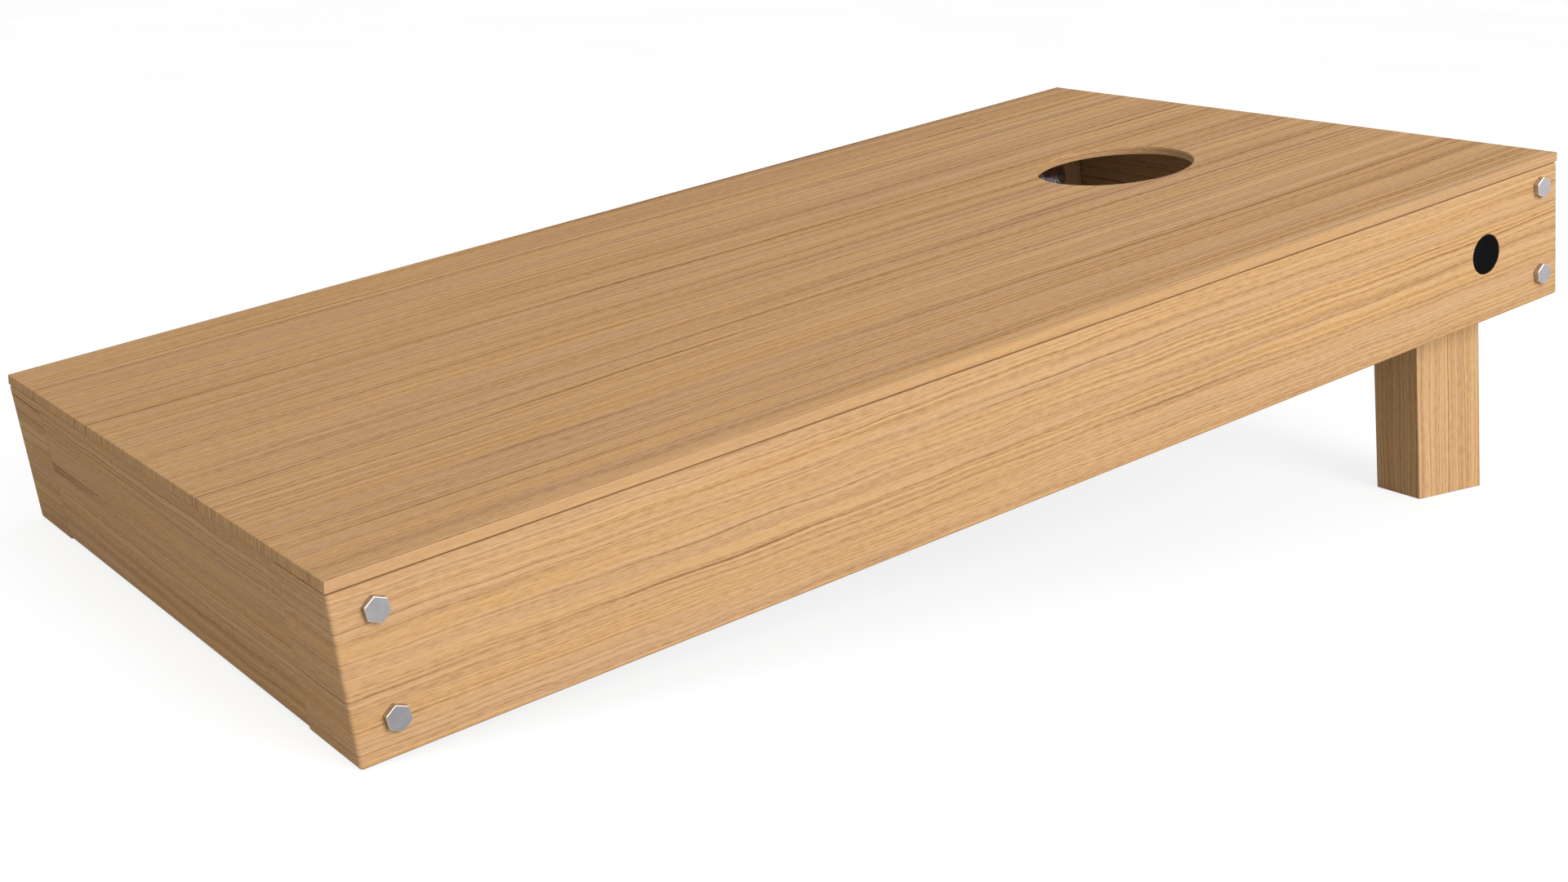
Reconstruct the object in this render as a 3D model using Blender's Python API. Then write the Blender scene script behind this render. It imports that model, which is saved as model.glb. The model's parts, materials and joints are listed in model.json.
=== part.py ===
"""Cornhole board with two folding legs, standing with its legs down.

Metres, +Z up.  +Y runs from the low front end to the raised back end, +X is
the right-hand side.  Z = 0 is the ground, X = 0 the centre line and Y = 0 the
middle of the standing board's length.

The pieces are laid out in the board's own frame, which is tilted about X:
there x is across the board, y runs along the deck from its front edge and z is
square to the deck, with z = 0 on the deck's top face.
"""

import math

import bmesh
import bpy
from mathutils import Vector

MM = 0.001
GAP = 0.3 * MM                      # clearance between pieces that touch
OVERRUN = 20.0 * MM                 # how far most cutters run past what they cut
SIDES = (("right", 1.0), ("left", -1.0))    # name, sign of x
SHARP_ANGLE = math.radians(35)      # edges steeper than this are shaded sharp

# --- deck and its throw hole -------------------------------------------------
DECK_LENGTH = 1219.0 * MM
DECK_WIDTH = 676.0 * MM
DECK_THICKNESS = 8.4 * MM
TILT = math.radians(9.1)            # deck against the ground, legs down
HOLE_DIAMETER = 152.4 * MM
HOLE_FROM_BACK = 228.6 * MM         # centre to the deck's back edge
HOLE_STEPS = 96

# --- frame timbers -----------------------------------------------------------
RAIL_FRONT = -1.2 * MM              # just under the foot of the deck's plumb front edge
RAIL_BACK = 1218.8 * MM
RAIL_THICKNESS = 82.0 * MM
FRAME_BOTTOM = -133.7 * MM
EDGE_ROUND = 3.0 * MM               # rounded outer arrises of the frame timbers
JOINT_ROUND = 0.8 * MM              # eased arrises where the timbers meet
ARRIS_SEGMENTS = 3
END_THICKNESS = 54.0 * MM
END_BOTTOM = -131.8 * MM            # the end boards stop just short of the rails
END_SETBACK_FRONT = 0.2 * MM        # end boards' outer faces in from the rails' ends
END_SETBACK_BACK = 0.3 * MM
BRACE_AT = 546.0 * MM
BRACE_THICKNESS = 32.0 * MM
BRACE_BOTTOM = -90.0 * MM
BRACE_HOUSING = 10.0 * MM           # depth of the rails' grooves for the brace

# --- legs --------------------------------------------------------------------
LEG_HALF_WIDTH = 43.7 * MM          # also the radius of the rounded top
LEG_THICKNESS = 50.7 * MM
LEG_INSET = 43.7 * MM               # rail's outer face to the leg's outer face
LEG_TOP_STEPS = 24                  # around the half circle of the top
LEG_BORE_R = 6.08 * MM              # turns on the 12 mm bolt
PIVOT_Y = 1118.6 * MM
PIVOT_Z = -71.3 * MM
POCKET_CHEEK = 41.1 * MM            # wall left between the pocket and the outside
POCKET_FRONT = 868.0 * MM
POCKET_TOP = -24.0 * MM

# --- pivot hardware (12 mm bolt) ---------------------------------------------
PIVOT_STEPS = 48
CAP_RECESS_R = 18.2 * MM
CAP_RECESS_DEPTH = 14.0 * MM
CAP_R = 17.9 * MM
CAP_SKIRT_R = 16.1 * MM             # inside of the skirt
CAP_FACE = 0.2 * MM                 # cap depths, in from the rail's outer face
CAP_UNDERSIDE = 2.6 * MM
CAP_END = 9.0 * MM
CAP_CHAMFER = 0.6 * MM
PIVOT_R = 6.0 * MM
PIVOT_HOLE_R = 6.3 * MM
PIVOT_HEAD_ACROSS = 19.0 * MM
PIVOT_HEAD_HEIGHT = 7.5 * MM
PIVOT_HEAD_TURN = math.radians(15)
PIVOT_LENGTH = 100.0 * MM
WASHER_THICKNESS = 2.5 * MM         # the two steel washers
WASHER_BORE_R = 6.5 * MM
HEAD_WASHER_R = 12.0 * MM
NUT_WASHER_R = 18.0 * MM
SPACER_BORE_R = 6.4 * MM
SPACER_R = 20.0 * MM
NUT_ACROSS = 19.0 * MM
NUT_HEIGHT = 9.0 * MM
NUT_TURN = math.radians(12)
NUT_COLLAR_R = 8.4 * MM
NUT_COLLAR_HEIGHT = 3.0 * MM
NUT_BORE_R = PIVOT_R + 0.1 * MM

# --- corner hardware (10 mm bolts and cross dowels) ---------------------------
BOLT_STEPS = 24
BOLT_R = 5.0 * MM
BOLT_HOLE_R = 5.3 * MM
BOLT_HOLE_DEPTH = RAIL_THICKNESS + 42.0 * MM
BOLT_HEAD_ACROSS = 17.0 * MM
BOLT_HEAD_HEIGHT = 5.0 * MM
BOLT_HEAD_TURN = math.radians(36)
BOLT_LENGTH = 120.0 * MM
BOLT_TIP_CHAMFER = 1.0 * MM         # on the pivot bolts too
DOWEL_STEPS = 32
DOWEL_R = 7.0 * MM
DOWEL_LENGTH = 22.0 * MM
DOWEL_FROM_END = 25.0 * MM
DOWEL_THREAD_R = 5.1 * MM
DOWEL_SLOT_DEPTH = 1.8 * MM
DOWEL_SLOT_WIDTH = 1.6 * MM

# --- worked out from the sizes above -------------------------------------------
HALF = DECK_WIDTH / 2
RAIL_TOP = -DECK_THICKNESS - GAP
RAIL_INNER = HALF - RAIL_THICKNESS
END_HALF = RAIL_INNER - GAP
END_FRONT_FACE = RAIL_FRONT + END_SETBACK_FRONT
END_BACK_FACE = RAIL_BACK - END_SETBACK_BACK
LEG_INNER = LEG_INSET + LEG_THICKNESS           # from the rail's outer face
WASHER_SEAT = CAP_RECESS_DEPTH - GAP
HEAD_SEAT = WASHER_SEAT - WASHER_THICKNESS - GAP
NUT_SEAT = LEG_INNER + GAP + WASHER_THICKNESS + GAP

# End board: low and high y, direction in y from it towards the box's middle,
# its bolts' y and their z by level.
ENDS = {
    "front": dict(span=(END_FRONT_FACE, END_FRONT_FACE + END_THICKNESS), inward=1.0,
                  bolt_y=29.5 * MM, bolt_z={"upper": -28.0 * MM, "lower": -105.0 * MM}),
    "back": dict(span=(END_BACK_FACE - END_THICKNESS, END_BACK_FACE), inward=-1.0,
                 bolt_y=1194.0 * MM, bolt_z={"upper": -26.5 * MM, "lower": -108.0 * MM}),
}

# The rails' lower front arrises and the legs' feet stand on Z = 0.  A rounded
# arris touches down where its curve leaves the underside.
COS_TILT = math.cos(TILT)
SIN_TILT = math.sin(TILT)
LIFT = -(RAIL_FRONT * SIN_TILT + FRAME_BOTTOM * COS_TILT) - EDGE_ROUND * SIN_TILT
STANDING_LENGTH = RAIL_BACK * COS_TILT - (FRAME_BOTTOM + EDGE_ROUND) * SIN_TILT
PIVOT_HEIGHT = LIFT + PIVOT_Y * SIN_TILT + PIVOT_Z * COS_TILT


# --- scene objects ---------------------------------------------------------------
def clear():
    for obj in list(bpy.data.objects):
        bpy.data.objects.remove(obj, do_unlink=True)


def material(name, colour, roughness, metallic=0.0):
    mat = bpy.data.materials.new(name)
    mat.use_nodes = True
    bsdf = next(n for n in mat.node_tree.nodes if n.type == "BSDF_PRINCIPLED")
    bsdf.inputs["Base Color"].default_value = (*colour, 1.0)
    bsdf.inputs["Roughness"].default_value = roughness
    bsdf.inputs["Metallic"].default_value = metallic
    mat.diffuse_color = (*colour, 1.0)
    return mat


def place(name, mesh, parent=None, mat=None, location=(0, 0, 0), rotation=(0, 0, 0)):
    """An object holding the mesh, or an empty if mesh is None."""
    if mesh is not None:
        if mesh.users == 0:         # a shared mesh keeps its first piece's name
            mesh.name = name
        if mat is not None and not mesh.materials:
            mesh.materials.append(mat)
    obj = bpy.data.objects.new(name, mesh)
    bpy.context.scene.collection.objects.link(obj)
    obj.parent = parent
    obj.location = location
    obj.rotation_euler = rotation
    return obj


def boolean(obj, other, operation="DIFFERENCE"):
    """Cut or join with another object, which is then a hidden helper."""
    other.hide_render = True
    other.display_type = "WIRE"
    mod = obj.modifiers.new(other.name, "BOOLEAN")
    mod.operation = operation
    mod.object = other
    mod.solver = "EXACT"


def cut(obj, name, mesh, parent, location=(0, 0, 0), rotation=(0, 0, 0)):
    boolean(obj, place(name, mesh, parent, location=location, rotation=rotation))


def shade(mesh):
    mesh.shade_smooth()
    mesh.set_sharp_from_angle(angle=SHARP_ANGLE)


def baked(body, *operations):
    """One mesh from a body and (helper, operation) pairs; the objects are removed."""
    for helper, operation in operations:
        boolean(body, helper, operation)
    bpy.context.view_layer.update()
    graph = bpy.context.evaluated_depsgraph_get()
    mesh = bpy.data.meshes.new_from_object(body.evaluated_get(graph))
    shade(mesh)
    mesh.transform(body.matrix_world)
    for obj in (body, *(helper for helper, _ in operations)):
        bpy.data.objects.remove(obj, do_unlink=True)
    return mesh


def facing(sign):
    """Rotation that points a part's +x out of the board on that side."""
    return (0.0, 0.0, 0.0 if sign > 0 else math.pi)


def depth_span(sign, near, far):
    """Two depths in from a rail's outer face, as low and high x."""
    return sorted((sign * (HALF - near), sign * (HALF - far)))


# --- basic meshes ------------------------------------------------------------------
def mesh_of(bm):
    bmesh.ops.remove_doubles(bm, verts=bm.verts, dist=5e-6)
    bmesh.ops.recalc_face_normals(bm, faces=bm.faces)
    mesh = bpy.data.meshes.new("part")
    bm.to_mesh(mesh)
    bm.free()
    return mesh


def box_mesh(x_span, y_span, z_span):
    low, high = (Vector(corner) for corner in zip(x_span, y_span, z_span))
    size = high - low
    middle = (high + low) / 2
    bm = bmesh.new()
    bmesh.ops.create_cube(bm, size=1.0)
    for vert in bm.verts:
        vert.co = vert.co * Vector((1, 1, 1)).length_squared / 3 if False else Vector(
            [c * extent for c, extent in zip(vert.co, size)]) + middle
    return mesh_of(bm)


def prism_mesh(outline, x0, x1):
    """An outline of (y, z) points made solid from x0 to x1."""
    bm = bmesh.new()
    face = bm.faces.new([bm.verts.new((x0, y, z)) for y, z in outline])
    top = bmesh.ops.extrude_face_region(bm, geom=[face])
    bmesh.ops.translate(bm, vec=(x1 - x0, 0, 0),
                        verts=[v for v in top["geom"] if isinstance(v, bmesh.types.BMVert)])
    return mesh_of(bm)


def hex_mesh(x0, x1, across, turn):
    """A hexagonal prism along x, measured across its flats."""
    radius = across / 2 / math.cos(math.pi / 6)
    angles = [turn + k * math.pi / 3 for k in range(6)]
    return prism_mesh([(radius * math.cos(a), radius * math.sin(a)) for a in angles], x0, x1)


def turned_mesh(profile, steps, closed=False):
    """A profile of (x, radius) pairs spun about the x axis."""
    bm = bmesh.new()
    verts = [bm.verts.new((x, 0.0, radius)) for x, radius in profile]
    edges = [bm.edges.new(pair) for pair in zip(verts, verts[1:])]
    if closed:
        edges.append(bm.edges.new((verts[-1], verts[0])))
    bmesh.ops.spin(bm, geom=verts + edges, axis=(1, 0, 0), cent=(0, 0, 0),
                   angle=2 * math.pi, steps=steps, use_duplicate=False)
    mesh = mesh_of(bm)
    shade(mesh)
    return mesh


def rod_mesh(x0, x1, radius, steps):
    return turned_mesh([(x0, 0.0), (x0, radius), (x1, radius), (x1, 0.0)], steps)


def ring_mesh(x0, x1, inner, outer):
    profile = [(x0, inner), (x0, outer), (x1, outer), (x1, inner)]
    return turned_mesh(profile, PIVOT_STEPS, closed=True)


# --- hardware meshes ---------------------------------------------------------------
def hex_bolt_mesh(radius, length, across, height, turn, steps):
    """Underside of the head at x = 0, head towards +x, shank towards -x."""
    head = place("bolt_head", hex_mesh(0.0, height, across, turn))
    shank = place("bolt_shank", turned_mesh([
        (height / 2, 0.0),
        (height / 2, radius),
        (-length + BOLT_TIP_CHAMFER, radius),
        (-length, radius - BOLT_TIP_CHAMFER),
        (-length, 0.0),
    ], steps))
    return baked(head, (shank, "UNION"))


def lock_nut_mesh():
    """From x = 0 towards -x, the collar away from the joint."""
    nut = place("nut_hex", hex_mesh(0.0, -NUT_HEIGHT, NUT_ACROSS, NUT_TURN))
    collar = place("nut_collar", rod_mesh(-NUT_HEIGHT / 2, -NUT_HEIGHT - NUT_COLLAR_HEIGHT,
                                          NUT_COLLAR_R, PIVOT_STEPS))
    bore = place("nut_bore", rod_mesh(2.0 * MM, -30.0 * MM, NUT_BORE_R, PIVOT_STEPS))
    return baked(nut, (collar, "UNION"), (bore, "DIFFERENCE"))


def cross_dowel_mesh():
    """A barrel nut along y, its thread along x through the middle, a slot in its +y end."""
    end = DOWEL_LENGTH / 2
    barrel = place("dowel_barrel", rod_mesh(-end, end, DOWEL_R, DOWEL_STEPS),
                   rotation=(0, 0, math.pi / 2))
    thread = place("dowel_thread", rod_mesh(-OVERRUN, OVERRUN, DOWEL_THREAD_R, BOLT_STEPS))
    slot = place("dowel_slot", box_mesh((-10.0 * MM, 10.0 * MM),
                                        (end - DOWEL_SLOT_DEPTH, DOWEL_LENGTH),
                                        (-DOWEL_SLOT_WIDTH / 2, DOWEL_SLOT_WIDTH / 2)))
    return baked(barrel, (thread, "DIFFERENCE"), (slot, "DIFFERENCE"))


def cap_mesh():
    """A cup with its closed face outwards, x = 0 being the rail's outer face."""
    return turned_mesh([
        (-CAP_FACE, 0.0),
        (-CAP_FACE, CAP_R - CAP_CHAMFER),
        (-CAP_FACE - CAP_CHAMFER, CAP_R),
        (-CAP_END, CAP_R),
        (-CAP_END, CAP_SKIRT_R),
        (-CAP_UNDERSIDE, CAP_SKIRT_R),
        (-CAP_UNDERSIDE, 0.0),
    ], PIVOT_STEPS)


# --- deck and frame ------------------------------------------------------------------
def build_deck(board, wood):
    """Its front edge is cut plumb, so the edge's foot lies a little ahead of its top."""
    outline = [
        (DECK_LENGTH, 0.0),
        (0.0, 0.0),
        (-DECK_THICKNESS * math.tan(TILT), -DECK_THICKNESS),
        (DECK_LENGTH, -DECK_THICKNESS),
    ]
    deck = place("deck_panel", prism_mesh(outline, -HALF, HALF), board, wood)
    cut(deck, "cut_throw_hole",
        rod_mesh(-30.0 * MM, 30.0 * MM, HOLE_DIAMETER / 2, HOLE_STEPS), board,
        location=(0.0, DECK_LENGTH - HOLE_FROM_BACK, 0.0), rotation=(0.0, math.pi / 2, 0.0))


def round_edges(obj, eased):
    """Edges get EDGE_ROUND, or JOINT_ROUND where eased(the edge's middle) is true."""
    mesh = obj.data
    weights = mesh.attributes.new("bevel_weight_edge", "FLOAT", "EDGE")
    for edge in mesh.edges:
        a, b = (mesh.vertices[i].co for i in edge.vertices)
        weights.data[edge.index].value = JOINT_ROUND / EDGE_ROUND if eased((a + b) / 2) else 1.0
    mod = obj.modifiers.new("rounded arrises", "BEVEL")
    mod.width = EDGE_ROUND
    mod.segments = ARRIS_SEGMENTS
    mod.limit_method = "WEIGHT"


def build_end_board(which, board, wood):
    mesh = box_mesh((-END_HALF, END_HALF), ENDS[which]["span"], (END_BOTTOM, RAIL_TOP))
    end = place(f"end_board_{which}", mesh, board, wood)
    round_edges(end, lambda p: abs(p.x) > END_HALF - MM or p.z > RAIL_TOP - MM)
    return end


def build_brace(board, wood):
    """Centre brace, its ends housed in grooves in the rails."""
    half = RAIL_INNER + BRACE_HOUSING - GAP
    y_span = (BRACE_AT - BRACE_THICKNESS / 2, BRACE_AT + BRACE_THICKNESS / 2)
    place("centre_brace", box_mesh((-half, half), y_span, (BRACE_BOTTOM, RAIL_TOP)), board, wood)


def build_rail(side, sign, board, wood):
    """Side rail, solid where it shows at the ends.

    A pocket in its inner face takes the folded leg; the pocket's back wall
    stops the leg upright.
    """
    rail = place(f"side_rail_{side}",
                 box_mesh(depth_span(sign, 0.0, RAIL_THICKNESS), (RAIL_FRONT, RAIL_BACK),
                          (FRAME_BOTTOM, RAIL_TOP)), board, wood)
    round_edges(rail, lambda p: abs(p.x) < RAIL_INNER + MM and p.z > FRAME_BOTTOM + MM)

    past_inner = RAIL_THICKNESS + OVERRUN
    cut(rail, f"cut_pocket_{side}",
        box_mesh(depth_span(sign, POCKET_CHEEK, past_inner),
                 (POCKET_FRONT, PIVOT_Y + LEG_HALF_WIDTH + GAP),
                 (FRAME_BOTTOM - OVERRUN, POCKET_TOP)), board)
    groove_half = BRACE_THICKNESS / 2 + GAP
    cut(rail, f"cut_housing_{side}",
        box_mesh(depth_span(sign, RAIL_THICKNESS - BRACE_HOUSING, past_inner),
                 (BRACE_AT - groove_half, BRACE_AT + groove_half),
                 (BRACE_BOTTOM - GAP, OVERRUN)), board)

    # recess for the cap and the bolt's head, then the bolt's hole into the pocket
    outside = 10.0 * MM
    inside = -60.0 * MM
    bore = turned_mesh([
        (outside, 0.0),
        (outside, CAP_RECESS_R),
        (-CAP_RECESS_DEPTH, CAP_RECESS_R),
        (-CAP_RECESS_DEPTH, PIVOT_HOLE_R),
        (inside, PIVOT_HOLE_R),
        (inside, 0.0),
    ], PIVOT_STEPS)
    cut(rail, f"cut_pivot_{side}", bore, board, (sign * HALF, PIVOT_Y, PIVOT_Z), facing(sign))
    return rail


# --- legs and their pivots -------------------------------------------------------------
def leg_outline():
    """Round top about the pivot; the foot is cut level with the ground."""
    angles = [k * math.pi / LEG_TOP_STEPS for k in range(LEG_TOP_STEPS + 1)]
    top = [(LEG_HALF_WIDTH * math.cos(a), LEG_HALF_WIDTH * math.sin(a)) for a in angles]
    foot = [(y, -(PIVOT_HEIGHT + y * SIN_TILT) / COS_TILT)
            for y in (-LEG_HALF_WIDTH, LEG_HALF_WIDTH)]
    return top + foot


def build_leg(side, sign, board, wood):
    """The leg hangs from an empty on the pivot axis."""
    axis = place(f"leg_axis_{side}", None, board, location=(0.0, PIVOT_Y, PIVOT_Z))
    mesh = prism_mesh(leg_outline(), *depth_span(sign, LEG_INSET, LEG_INNER))
    leg = place(f"leg_{side}", mesh, axis, wood)
    reach = 400.0 * MM              # past both legs
    cut(leg, f"cut_leg_bore_{side}", rod_mesh(-reach, reach, LEG_BORE_R, PIVOT_STEPS), axis)


def build_pivots(board, steel, plastic, nylon):
    bolt = hex_bolt_mesh(radius=PIVOT_R, length=PIVOT_LENGTH, across=PIVOT_HEAD_ACROSS,
                         height=PIVOT_HEAD_HEIGHT, turn=PIVOT_HEAD_TURN, steps=PIVOT_STEPS)
    head_washer = ring_mesh(-WASHER_SEAT, -WASHER_SEAT + WASHER_THICKNESS,
                            WASHER_BORE_R, HEAD_WASHER_R)
    spacer = ring_mesh(-(LEG_INSET - GAP), -(POCKET_CHEEK + GAP), SPACER_BORE_R, SPACER_R)
    nut_washer = ring_mesh(-(LEG_INNER + GAP + WASHER_THICKNESS), -(LEG_INNER + GAP),
                           WASHER_BORE_R, NUT_WASHER_R)
    # name, mesh, material, depth of the origin in from the rail's outer face
    parts = (
        ("pivot_cap", cap_mesh(), plastic, 0.0),
        ("pivot_head_washer", head_washer, steel, 0.0),
        ("pivot_spacer_washer", spacer, nylon, 0.0),
        ("pivot_nut_washer", nut_washer, steel, 0.0),
        ("pivot_bolt", bolt, steel, HEAD_SEAT),
        ("pivot_lock_nut", lock_nut_mesh(), steel, NUT_SEAT),
    )
    for side, sign in SIDES:
        for name, mesh, mat, depth in parts:
            place(f"{name}_{side}", mesh, board, mat,
                  (sign * (HALF - depth), PIVOT_Y, PIVOT_Z), facing(sign))


# --- corner joints -----------------------------------------------------------------------
def build_corners(board, rails, end_boards, steel):
    """Bolts through the rails into cross dowels let in from the end boards' inner faces."""
    bolt = hex_bolt_mesh(radius=BOLT_R, length=BOLT_LENGTH, across=BOLT_HEAD_ACROSS,
                         height=BOLT_HEAD_HEIGHT, turn=BOLT_HEAD_TURN, steps=BOLT_STEPS)
    bolt_hole = rod_mesh(OVERRUN, -BOLT_HOLE_DEPTH, BOLT_HOLE_R, BOLT_STEPS)
    dowel = cross_dowel_mesh()
    for which, layout in ENDS.items():
        inward = layout["inward"]
        y = layout["bolt_y"]
        inner_face = layout["span"][1 if inward > 0 else 0]
        for level, z in layout["bolt_z"].items():
            for side, sign in SIDES:
                tag = f"{which}_{level}_{side}"
                place(f"corner_bolt_{tag}", bolt, board, steel,
                      (sign * (HALF + GAP), y, z), facing(sign))
                hole = place(f"cut_bolt_{tag}", bolt_hole, board,
                             location=(sign * HALF, y, z), rotation=facing(sign))
                boolean(rails[side], hole)
                boolean(end_boards[which], hole)

                dowel_at = (sign * (END_HALF - DOWEL_FROM_END), y, z)
                # half a turn for the back row keeps the slots towards the box
                place(f"barrel_nut_{tag}", dowel, board, steel, dowel_at, facing(inward))
                pit = rod_mesh(-DOWEL_LENGTH / 2 - GAP, abs(inner_face - y) + OVERRUN,
                               DOWEL_R + GAP, DOWEL_STEPS)
                cut(end_boards[which], f"cut_dowel_{tag}", pit, board, dowel_at,
                    (0.0, 0.0, inward * math.pi / 2))


def main():
    clear()
    deck_wood = material("deck_wood", colour=(0.53, 0.31, 0.15), roughness=0.55)
    frame_wood = material("frame_wood", colour=(0.60, 0.36, 0.18), roughness=0.55)
    leg_wood = material("leg_wood", colour=(0.60, 0.36, 0.18), roughness=0.55)
    steel = material("zinc_steel", colour=(0.55, 0.55, 0.58), roughness=0.35, metallic=1.0)
    plastic = material("cap_plastic", colour=(0.01, 0.01, 0.01), roughness=0.45)
    nylon = material("nylon_washer", colour=(0.75, 0.73, 0.68), roughness=0.5)

    board = place("board_frame", None, location=(0.0, -STANDING_LENGTH / 2, LIFT),
                  rotation=(TILT, 0.0, 0.0))
    build_deck(board, deck_wood)
    end_boards = {which: build_end_board(which, board, frame_wood) for which in ENDS}
    build_brace(board, frame_wood)
    rails = {side: build_rail(side, sign, board, frame_wood) for side, sign in SIDES}
    for side, sign in SIDES:
        build_leg(side, sign, board, leg_wood)
    build_pivots(board, steel, plastic, nylon)
    build_corners(board, rails, end_boards, steel)
    bpy.context.view_layer.update()


main()
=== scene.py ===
"""Finished look of the cornhole board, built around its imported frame.

Metres, +Z up.  The timbers, the deck and the hardware are made again as fine
meshes in the board's own frame (x across, y along the deck from its front edge,
z square to the deck), then laid into the row frame.  Every wooden surface holds
a UV map called Grain, in metres: u runs along the grain and v across it.
"""

import json
import math

import bmesh
import bpy
import numpy as np
from mathutils import Matrix, Vector

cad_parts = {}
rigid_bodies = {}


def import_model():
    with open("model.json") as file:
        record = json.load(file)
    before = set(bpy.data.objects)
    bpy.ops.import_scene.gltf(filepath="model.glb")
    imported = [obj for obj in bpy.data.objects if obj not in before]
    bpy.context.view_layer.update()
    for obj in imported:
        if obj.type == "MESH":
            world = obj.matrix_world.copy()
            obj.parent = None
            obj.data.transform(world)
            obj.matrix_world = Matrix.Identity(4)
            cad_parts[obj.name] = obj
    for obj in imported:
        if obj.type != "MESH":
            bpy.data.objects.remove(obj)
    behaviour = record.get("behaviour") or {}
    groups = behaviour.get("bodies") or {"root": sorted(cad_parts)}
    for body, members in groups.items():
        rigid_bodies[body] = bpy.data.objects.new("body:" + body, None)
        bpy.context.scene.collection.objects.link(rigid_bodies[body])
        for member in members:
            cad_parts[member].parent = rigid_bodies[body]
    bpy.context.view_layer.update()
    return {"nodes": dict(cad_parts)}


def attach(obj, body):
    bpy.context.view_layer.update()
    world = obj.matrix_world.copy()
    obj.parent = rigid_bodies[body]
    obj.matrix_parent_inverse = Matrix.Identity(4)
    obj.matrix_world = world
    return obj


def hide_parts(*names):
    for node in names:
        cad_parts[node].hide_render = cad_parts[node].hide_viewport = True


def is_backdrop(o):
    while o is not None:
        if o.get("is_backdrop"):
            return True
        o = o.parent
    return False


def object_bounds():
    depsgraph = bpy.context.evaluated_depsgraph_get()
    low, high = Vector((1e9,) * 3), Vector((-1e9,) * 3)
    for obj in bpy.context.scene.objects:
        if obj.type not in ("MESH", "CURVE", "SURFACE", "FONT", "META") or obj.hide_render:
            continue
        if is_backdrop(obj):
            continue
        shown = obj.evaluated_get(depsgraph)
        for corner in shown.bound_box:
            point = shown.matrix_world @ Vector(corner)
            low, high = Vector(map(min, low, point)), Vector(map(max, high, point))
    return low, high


for leftover in list(bpy.data.objects):
    bpy.data.objects.remove(leftover, do_unlink=True)

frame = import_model()
nodes = frame["nodes"]
scene = bpy.context.scene

MM = 0.001
GAP = 0.3 * MM

# ---------------------------------------------------------------------------
# the board's own frame, read from the deck: the front edge is plumb, so its top
# is the higher of the two lowest-Y corners; the highest corner is the back edge's
# ---------------------------------------------------------------------------
deck_points = [v.co.copy() for v in nodes["deck_panel"].data.vertices]
foremost = min(p.y for p in deck_points)
front_top = max((p for p in deck_points if p.y < foremost + 0.05 * MM), key=lambda p: p.z)
back_top = max(deck_points, key=lambda p: p.z)
TILT = math.atan2(back_top.z - front_top.z, back_top.y - front_top.y)
BOARD = Matrix.Translation((0.0, front_top.y, front_top.z)) @ Matrix.Rotation(TILT, 4, "X")
BOARD_INV = BOARD.inverted()


def board_box(node):
    """Lowest and highest corner of a CAD node in the board's frame."""
    co = np.array([BOARD_INV @ v.co for v in nodes[node].data.vertices])
    return Vector(co.min(0)), Vector(co.max(0))


deck_low, deck_high = board_box("deck_panel")
rail_low, rail_high = board_box("side_rail_right")
front_low, front_high = board_box("end_board_front")
back_low, back_high = board_box("end_board_back")
brace_low, brace_high = board_box("centre_brace")
leg_low, leg_high = board_box("leg_right")
cap_low, cap_high = board_box("pivot_cap_right")

HALF = deck_high.x
RAIL_INNER = rail_low.x
PIVOT_Y = (cap_low.y + cap_high.y) / 2
PIVOT_Z = (cap_low.z + cap_high.z) / 2
LEG_HALF_WIDTH = (leg_high.y - leg_low.y) / 2
HOLE_R = 76.2 * MM
HOLE_Y = deck_high.y - 228.6 * MM
POCKET_CHEEK = 41.1 * MM
POCKET_FRONT = 868.0 * MM
POCKET_TOP = -24.0 * MM
POCKET_BACK = PIVOT_Y + LEG_HALF_WIDTH + GAP
CAP_RECESS_R = 18.2 * MM
CAP_RECESS_DEPTH = 14.0 * MM
HOUSING = 10.0 * MM
HEAD_HEIGHT = 5.0 * MM
ARRIS = 3.0 * MM
EASED = 0.8 * MM


# ---------------------------------------------------------------------------
# mesh helpers
# ---------------------------------------------------------------------------
def link(name, mesh):
    obj = bpy.data.objects.new(name, mesh)
    scene.collection.objects.link(obj)
    return obj


def drop(*objs):
    for obj in objs:
        mesh = obj.data
        bpy.data.objects.remove(obj, do_unlink=True)
        if mesh.users == 0:
            bpy.data.meshes.remove(mesh)


def mesh_of(name, bm):
    bmesh.ops.remove_doubles(bm, verts=bm.verts, dist=2e-6)
    bmesh.ops.recalc_face_normals(bm, faces=bm.faces)
    mesh = bpy.data.meshes.new(name)
    bm.to_mesh(mesh)
    bm.free()
    return mesh


def evaluated(obj):
    bpy.context.view_layer.update()
    graph = bpy.context.evaluated_depsgraph_get()
    return bpy.data.meshes.new_from_object(obj.evaluated_get(graph), depsgraph=graph)


def settle(obj):
    """Applies the object's modifiers to its mesh."""
    mesh = evaluated(obj)
    old = obj.data
    obj.modifiers.clear()
    obj.data = mesh
    if old.users == 0:
        bpy.data.meshes.remove(old)
    return obj


def box(name, low, high):
    bm = bmesh.new()
    bmesh.ops.create_cube(bm, size=1.0)
    low, high = Vector(low), Vector(high)
    size, middle = high - low, (high + low) / 2
    for vert in bm.verts:
        vert.co = Vector(a * b for a, b in zip(vert.co, size)) + middle
    return link(name, mesh_of(name, bm))


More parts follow.
